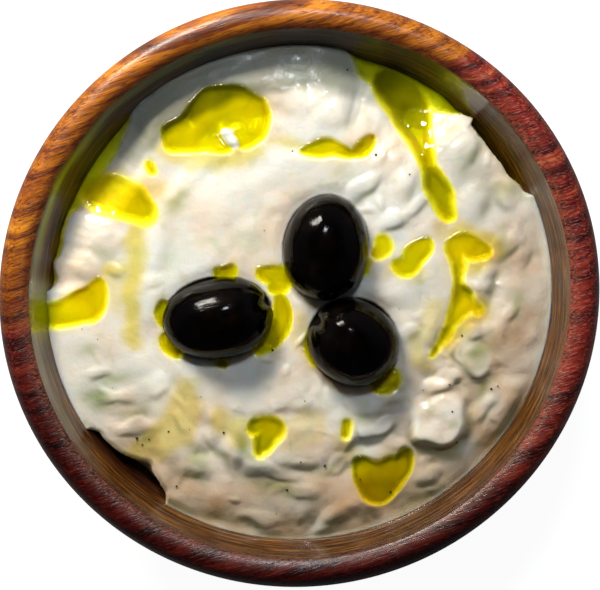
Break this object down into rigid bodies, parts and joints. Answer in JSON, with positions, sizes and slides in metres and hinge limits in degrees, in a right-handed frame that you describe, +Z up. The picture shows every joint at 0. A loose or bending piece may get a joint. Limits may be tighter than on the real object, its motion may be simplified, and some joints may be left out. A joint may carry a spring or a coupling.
{
  "type": "tzatziki dip in a wooden bowl",
  "caption": "Turned wooden bowl filled with lumpy cucumber yoghurt dip, with pools of olive oil along the wall and black olives pressed into the top.",
  "frame": {"origin": "centre of the bowl's flat foot, on the surface it stands on", "axes": "+Z up out of the bowl; +Y to the far side; the bowl's grain and its slightly longer diameter run 18 degrees anticlockwise of +X"},
  "size_m": [0.1396, 0.137, 0.0563],
  "materials": {
    "wood": "turned, oiled and rubbed, red-brown heartwood with a golden sapwood side",
    "yoghurt": "thick strained yoghurt, moist, with cucumber under the surface",
    "olive": "ripe black olive skin, wet and glossy",
    "oil": "clear green-yellow olive oil"
  },
  "bodies": {
    "root": {"bowl": "wood", "dip": "yoghurt", "olive_1": "olive", "olive_2": "olive", "olive_3": "olive", "oil_left": "oil", "oil_right": "oil", "oil_front": "oil"}
  },
  "joints": []
}
